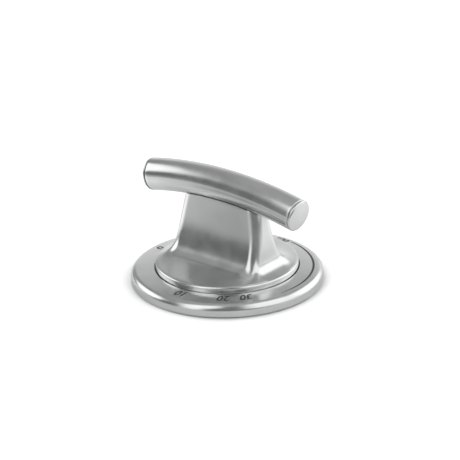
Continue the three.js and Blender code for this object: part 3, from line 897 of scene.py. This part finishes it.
def world():
    """A white surround for the camera. The metal sees the room with its light and dark patches."""
    made = bpy.data.worlds.new("studio")
    made.use_nodes = True
    made.node_tree.nodes.clear()
    shader = Shader(made.node_tree)
    azimuth, height = azimuth_of(shader, shader.add("ShaderNodeTexCoord").outputs["Generated"])
    elevation = shader.math("ARCSINE", height)
    light = shader.ramp(elevation, 0.0, math.radians(ROOM_LIGHT_TOP), *ROOM_LIGHT)
    for turn, rise, half_width, half_height, squareness, edge, level in SOFT_BOXES.values():
        beside = off_azimuth(shader, azimuth, turn, half_width)
        above = shader.math("ABSOLUTE", shader.math("SUBTRACT", elevation, math.radians(rise)))
        above = shader.math("DIVIDE", above, math.radians(half_height))
        powers = [shader.math("POWER", value, squareness) for value in (beside, above)]
        reach = shader.math("POWER", shader.math("ADD", *powers), 1 / squareness)
        light = shader.blend(shader.ramp(reach, 1 - edge, 1 + edge, 1.0, 0.0), light, level)
    background = shader.add("ShaderNodeBackground")
    shader.feed(background.inputs["Strength"], light)
    plain = shader.add("ShaderNodeBackground")
    mix = shader.add("ShaderNodeMixShader")
    shader.feed(mix.inputs[0], shader.add("ShaderNodeLightPath").outputs["Is Camera Ray"])
    shader.feed(mix.inputs[1], background.outputs[0])
    shader.feed(mix.inputs[2], plain.outputs[0])
    for sky in (background, plain):
        sky.inputs["Color"].default_value = (1, 1, 1, 1)
    out = shader.add("ShaderNodeOutputWorld")
    shader.feed(out.inputs["Surface"], mix.outputs[0])
    bpy.context.scene.world = made
    bpy.context.scene.view_settings.view_transform = "Standard"


def across(shader, reach, distances, *values):
    """A value that changes between two distances from the middle."""
    near, far = distances
    return shader.ramp(reach, near * MM, far * MM, *values)


def patch_light(shader, azimuth, degrees, half_width, level):
    """A level around one azimuth that fades out on both sides."""
    return shader.ramp(off_azimuth(shader, azimuth, degrees, half_width), *PATCH_EDGE, level, 0.0)


def seen_paper_with_painted_shadow(shader, azimuth):
    """White paper with a painted shadow close to the object, deepest on its right, on top of its real shade.
    """
    contact = shader.add("ShaderNodeAmbientOcclusion", samples=16)
    contact.inputs["Distance"].default_value = PAINTED_SHADOW_REACH * MM
    middle, fading, faded = PAINTED_SHADOW_SIDE
    side = off_azimuth(shader, azimuth, middle, fading)
    depth = shader.ramp(side, 1.0, faded / fading, *PAINTED_SHADOW_DEPTH)
    shade = shader.ramp(contact.outputs["AO"], *PAINTED_SHADOW_OPEN, 1.0, 0.0)
    # Painted shadow: the paper's colour is made darker where the object hides its sky.
    kept = shader.math("SUBTRACT", 1.0, shader.math("MULTIPLY", shade, depth))
    return shader.math("MULTIPLY", kept, PAPER_WHITE)


def reflected_paper(shader, azimuth, reach):
    """The grey floor that the metal sees, with the knob's shadow painted on it."""
    grey = across(shader, reach, FLOOR_FADE, FLOOR_GREY, FLOOR_GREY_FAR)
    shade = patch_light(shader, azimuth, *KNOB_SHADOW)
    shade = shader.math("MULTIPLY", shade, across(shader, reach, KNOB_SHADOW_START))
    shade = shader.math("MULTIPLY", shade, across(shader, reach, KNOB_SHADOW_END, 1.0, 0.0))
    return shader.math("MULTIPLY", grey, shader.math("SUBTRACT", 1.0, shade))


def painted_floor_light(shader, azimuth, reach):
    """The painted light patches, glowing on the floor, that the metal sees."""
    shine = 0.0
    for patch in PAINTED_LIGHT_PATCHES.values():
        shine = shader.math("ADD", shine, patch_light(shader, azimuth, *patch))
    return shader.math("MULTIPLY", shine, across(shader, reach, PATCH_START))


def floor():
    """Paper that is white to the camera but for a soft shadow, partly painted, and grey to the metal with
    painted light patches and a painted shadow of the knob.
    """
    corners = [(x * PAPER_SIZE, y * PAPER_SIZE, 0) for x, y in ((-1, -1), (1, -1), (1, 1), (-1, 1))]
    mesh = bpy.data.meshes.new("floor")
    mesh.from_pydata([Vector(corner) * MM for corner in corners], [], [(0, 1, 2, 3)])
    obj = bpy.data.objects.new("floor", mesh)
    bpy.context.scene.collection.objects.link(obj)
    material = bpy.data.materials.new("floor")
    material.use_nodes = True
    material.node_tree.nodes.clear()
    mesh.materials.append(material)
    shader = Shader(material.node_tree)
    spot = shader.add("ShaderNodeTexCoord").outputs["Object"]
    azimuth, _ = azimuth_of(shader, spot)
    length = shader.add("ShaderNodeVectorMath", operation="LENGTH")
    shader.feed(length.inputs[0], spot)
    reach = length.outputs["Value"]
    seen = shader.add("ShaderNodeLightPath").outputs["Is Camera Ray"]
    grey, white = reflected_paper(shader, azimuth, reach), seen_paper_with_painted_shadow(shader, azimuth)
    paper = shader.add("ShaderNodeBsdfDiffuse")
    # The camera sees white paper with a painted shadow; the metal sees grey paper with a painted shadow of
    # the knob.
    shader.feed(paper.inputs["Color"], shader.blend(seen, grey, white))
    lift = shader.add("ShaderNodeEmission")
    shine = painted_floor_light(shader, azimuth, reach)
    shader.feed(lift.inputs["Strength"], shader.blend(seen, shine, PAPER_LIFT))
    both = shader.add("ShaderNodeAddShader")
    shader.feed(both.inputs[0], paper.outputs[0])
    shader.feed(both.inputs[1], lift.outputs[0])
    out = shader.add("ShaderNodeOutputMaterial")
    shader.feed(out.inputs["Surface"], both.outputs[0])


camera()
dress_frame()
dial_skirt()
for number, details in enumerate(MARKS, start=1):
    mark(number, *details)
ramp_line()
pedestal()
handle_bar()
for side_word, side_sign in SIDES.items():
    end_cap(side_word, side_sign)
return_spring()
world()
floor()
